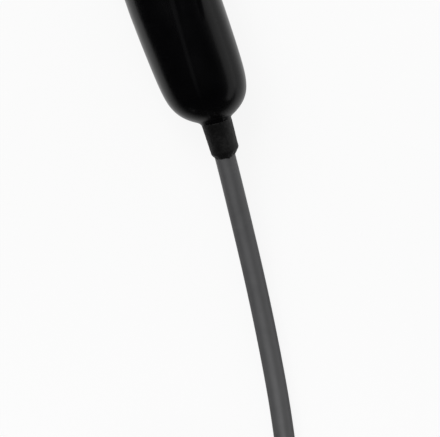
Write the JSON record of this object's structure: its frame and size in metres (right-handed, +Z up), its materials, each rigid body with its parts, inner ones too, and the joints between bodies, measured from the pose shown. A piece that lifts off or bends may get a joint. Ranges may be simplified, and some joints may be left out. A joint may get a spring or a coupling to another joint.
{
  "type": "pneumatic shutter release",
  "caption": "Air-driven camera shutter release: rubber squeeze bulb, coiled rubber hose and a plunger unit with a tapered release thread and a time lock.",
  "frame": {"origin": "centre of the threaded tip's seat face, where the taper leaves the finger ring", "axes": "+X out along the tip, away from the hose; +Z up, off the surface that the object lies on; +Y from the bulb towards the plunger unit"},
  "size_m": [0.0941, 0.2662, 0.028],
  "materials": {
    "moulded_rubber": "gloss",
    "rough_rubber": "rough",
    "hose_rubber": "satin",
    "gasket_rubber": "matte",
    "nickel": "satin",
    "brass": "satin",
    "spring_steel": "satin",
    "cup_leather": "matte"
  },
  "bodies": {
    "release": {"bulb": "moulded_rubber", "bulb_nipple": "brass", "neck_collar": "rough_rubber", "hose_bulb_end": "hose_rubber", "hose_run": "hose_rubber", "hose_coil": "hose_rubber", "coil_tie": "gasket_rubber", "hose_tail": "hose_rubber", "hose_tip_end": "hose_rubber", "hose_ferrule": "nickel", "rear_cap": "nickel", "cap_gasket": "gasket_rubber", "barrel": "nickel", "nose_cap": "nickel", "return_spring": "spring_steel"},
    "plunger": {"piston": "brass", "piston_cup": "cup_leather", "cup_washer": "brass", "piston_nut": "spring_steel", "plunger_rod": "spring_steel"},
    "tip": {"threaded_tip": "nickel", "tip_snap_ring": "spring_steel"},
    "shoe": {"lock_pad": "brass"},
    "screw": {"lock_screw": "nickel"}
  },
  "joints": [
    {"name": "plunger_slide", "type": "slide", "parent": "release", "child": "plunger", "axis": [1, 0, 0], "range_m": [0, 0.006], "stiffness_N_per_m": 150, "springref_m": -0.01, "deforming": ["return_spring"]},
    {"name": "tip_swivel", "type": "hinge", "parent": "release", "child": "tip", "pos_m": [-0.002, 0, 0], "axis": [1, 0, 0], "continuous": true},
    {"name": "lock_advance", "type": "slide", "parent": "release", "child": "shoe", "axis": [0, 0, -1], "range_m": [0, 0.00035]},
    {"name": "lock_turn", "type": "hinge", "parent": "shoe", "child": "screw", "pos_m": [-0.0093, 0, 0.0066], "axis": [0, 0, -1], "range_deg": [0, 315]}
  ],
  "couplings": [
    {"joint": "lock_turn", "follows": "lock_advance", "rad_per_m": 15708}
  ]
}
